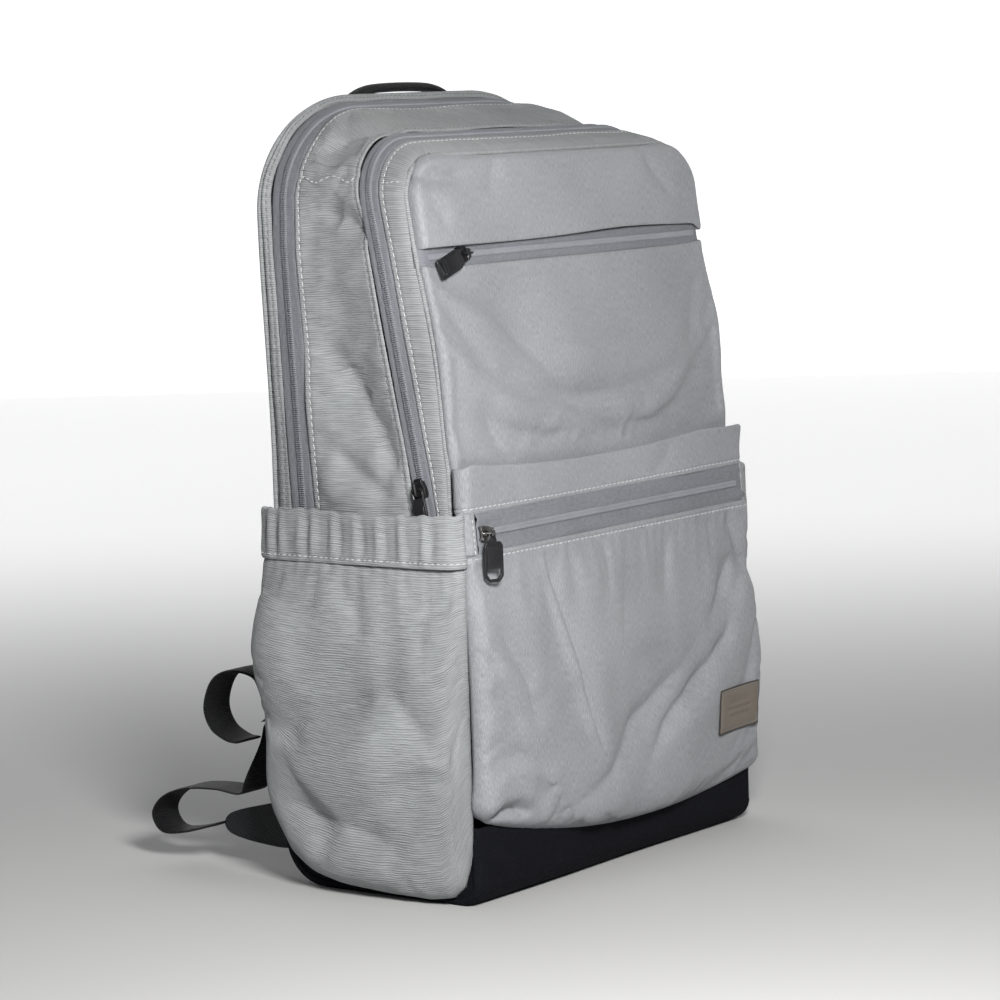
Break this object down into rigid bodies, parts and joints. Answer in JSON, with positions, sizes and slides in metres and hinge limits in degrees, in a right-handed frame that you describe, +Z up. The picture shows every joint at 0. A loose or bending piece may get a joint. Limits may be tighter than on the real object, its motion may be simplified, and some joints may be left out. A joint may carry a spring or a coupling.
{
  "type": "solar backpack",
  "caption": "Upright fabric daypack with zipped compartments, side pockets, padded shoulder straps and a folded solar charging panel stowed in its front pocket.",
  "frame": {"origin": "centre of the base's flat underside", "axes": "+Z up the back panel, front faces -Y, +X to the right seen from the front"},
  "size_m": [0.332, 0.2652, 0.469],
  "materials": {
    "side_fabric": "ribbed weave",
    "front_fabric": "fine satin weave",
    "base_fabric": "coarse plain weave",
    "lining": "plain weave",
    "zip_tape": "knitted tape",
    "zip_coil": "satin nylon",
    "slider": "semi-gloss black",
    "bright_slider": "gunmetal",
    "zip_pull": "semi-gloss black",
    "webbing": "ribbed webbing",
    "anchor_fabric": "twill",
    "strap_fabric": "woven face",
    "back_mesh": "air mesh",
    "buckle": "satin moulded",
    "stiffener": "plain sheet",
    "label": "embossed patch",
    "solar_fabric": "coated",
    "solar_cell": "laminated cells",
    "junction_plastic": "moulded",
    "socket_metal": "plated"
  },
  "bodies": {
    "bag": {"back_panel": "side_fabric", "back_pad": "back_mesh", "frame_sheet": "stiffener", "rear_gusset": "side_fabric", "side_gusset_left": "side_fabric", "side_gusset_right": "side_fabric", "top_gusset": "side_fabric", "front_gusset": "side_fabric", "upper_front_panel": "front_fabric", "yoke_panel": "front_fabric", "pocket_backing": "lining", "base_panel": "base_fabric", "base_board": "stiffener", "compartment_divider": "lining", "laptop_sleeve": "lining", "main_zip_tape": "zip_tape", "main_zip_coil": "zip_coil", "front_zip_tape": "zip_tape", "front_zip_coil": "zip_coil", "upper_zip_tape": "zip_tape", "upper_zip_coil": "zip_coil", "lower_zip_tape": "zip_tape", "lower_zip_coil": "zip_coil", "slip_pocket_band": "front_fabric", "lower_pocket_panel": "front_fabric", "label_patch": "label", "side_pocket_left": "side_fabric", "side_pocket_right": "side_fabric", "pocket_hem_left": "side_fabric", "pocket_hem_right": "side_fabric", "handle_anchor": "webbing", "shoulder_strap_left": "strap_fabric", "shoulder_strap_right": "strap_fabric", "ladder_lock_left": "buckle", "ladder_lock_right": "buckle", "lower_webbing_left": "webbing", "lower_webbing_right": "webbing", "strap_tail_left": "webbing", "strap_tail_right": "webbing", "anchor_gusset_left": "anchor_fabric", "anchor_gusset_right": "anchor_fabric", "solar_leaves": "solar_fabric", "solar_cells": "solar_cell", "solar_backing": "lining", "junction_box": "junction_plastic", "usb_socket": "socket_metal"},
    "main_slider_left": {"main_slider_left": "slider"},
    "main_slider_right": {"main_slider_right": "slider"},
    "front_slider": {"front_slider": "slider"},
    "upper_slider": {"upper_slider": "slider"},
    "lower_slider": {"lower_slider": "bright_slider"},
    "main_pull_left": {"main_pull_left": "zip_pull"},
    "main_pull_right": {"main_pull_right": "zip_pull"},
    "front_pull": {"front_pull": "zip_pull"},
    "upper_pull": {"upper_pull": "zip_pull"},
    "lower_pull": {"lower_pull": "zip_pull"},
    "handle": {"handle": "webbing"}
  },
  "joints": [
    {"name": "main_slide_left", "type": "slide", "parent": "bag", "child": "main_slider_left", "axis": [-0.0011, 0.0499, 0.9988], "range_m": [0, 0.15]},
    {"name": "main_slide_right", "type": "slide", "parent": "bag", "child": "main_slider_right", "axis": [0.0011, 0.0499, 0.9988], "range_m": [0, 0.15]},
    {"name": "front_slide", "type": "slide", "parent": "bag", "child": "front_slider", "axis": [-0.0041, 0.1867, 0.9824], "range_m": [0, 0.14]},
    {"name": "upper_slide", "type": "slide", "parent": "bag", "child": "upper_slider", "axis": [1, 0, 0], "range_m": [0, 0.23]},
    {"name": "lower_slide", "type": "slide", "parent": "bag", "child": "lower_slider", "axis": [1, 0, 0], "range_m": [0, 0.25]},
    {"name": "main_pull_left_swing", "type": "hinge", "parent": "main_slider_left", "child": "main_pull_left", "pos_m": [-0.1506, 0.047, 0.208], "axis": [0, 0.9988, -0.0499], "range_deg": [-3, 12]},
    {"name": "main_pull_right_swing", "type": "hinge", "parent": "main_slider_right", "child": "main_pull_right", "pos_m": [0.1506, 0.047, 0.208], "axis": [0, -0.9988, 0.0499], "range_deg": [-3, 12]},
    {"name": "front_pull_swing", "type": "hinge", "parent": "front_slider", "child": "front_pull", "pos_m": [-0.1484, -0.0385, 0.24], "axis": [0, 0.9824, -0.1867], "range_deg": [-3, 12]},
    {"name": "upper_pull_swing", "type": "hinge", "parent": "upper_slider", "child": "upper_pull", "pos_m": [-0.106, -0.04739, 0.37175], "axis": [-0.4067, 0.137, 0.9032], "range_deg": [0, 150]},
    {"name": "lower_pull_swing", "type": "hinge", "parent": "lower_slider", "child": "lower_pull", "pos_m": [-0.131, -0.07833, 0.21554], "axis": [-1, 0, 0], "range_deg": [-3, 150]},
    {"name": "handle_fold", "type": "hinge", "parent": "bag", "child": "handle", "pos_m": [0, 0.074, 0.447], "axis": [-1, 0, 0], "range_deg": [0, 70]}
  ]
}
